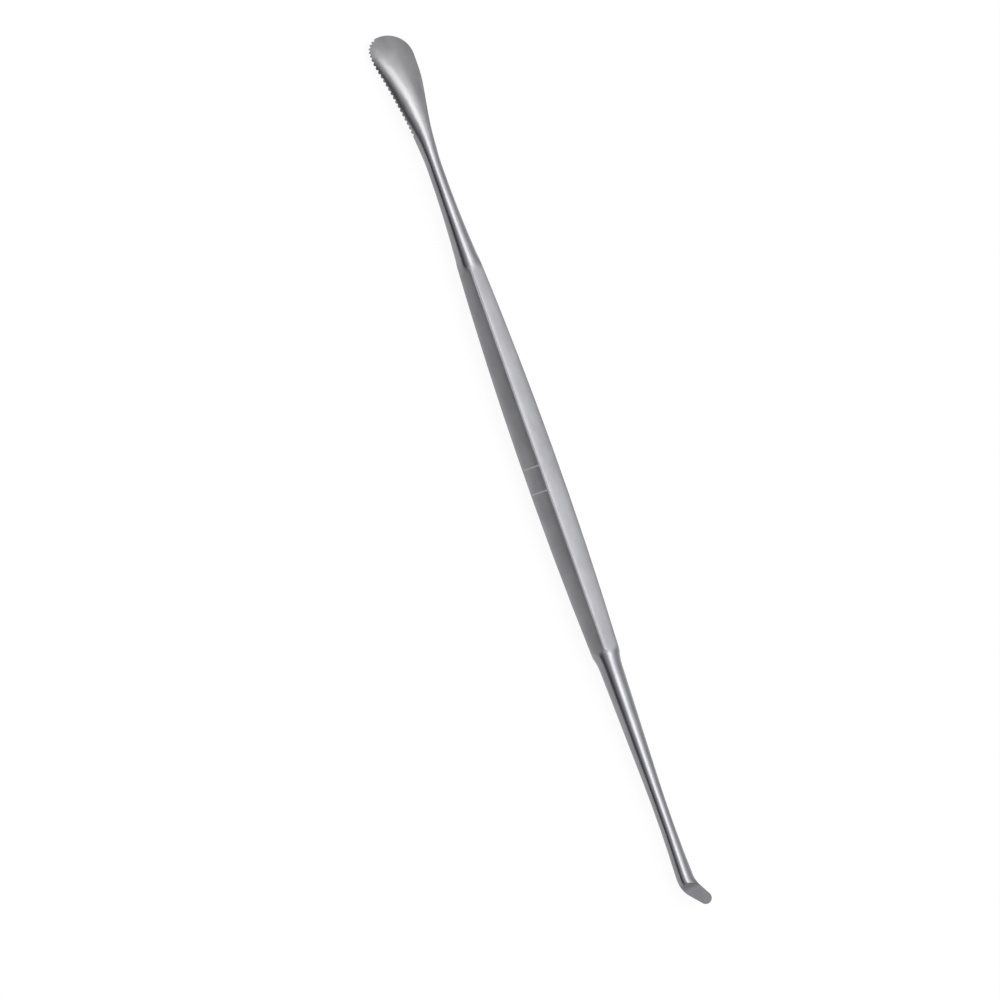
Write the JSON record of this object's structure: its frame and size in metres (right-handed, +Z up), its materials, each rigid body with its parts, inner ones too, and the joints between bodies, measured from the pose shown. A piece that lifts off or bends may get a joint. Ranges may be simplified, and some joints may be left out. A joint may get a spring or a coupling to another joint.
{
  "type": "tonsil dissector",
  "caption": "Double-ended steel tonsil dissector: six-sided barrel handle, scooped leaf with a toothed edge, and a small flat blade bent to one side.",
  "frame": {"origin": "under the middle of the overall length, in the plane of the ground that the handle's lowest facet lies on", "axes": "+X along the handle from the toothed leaf to the bent blade, +Z up from the facet it rests on, -Y towards the side of the toothed edge"},
  "size_m": [0.22, 0.0108, 0.0086],
  "materials": {
    "steel": "satin ground facets, brighter polished necks and leaf"
  },
  "bodies": {
    "root": {"dissector": "steel"}
  },
  "joints": []
}
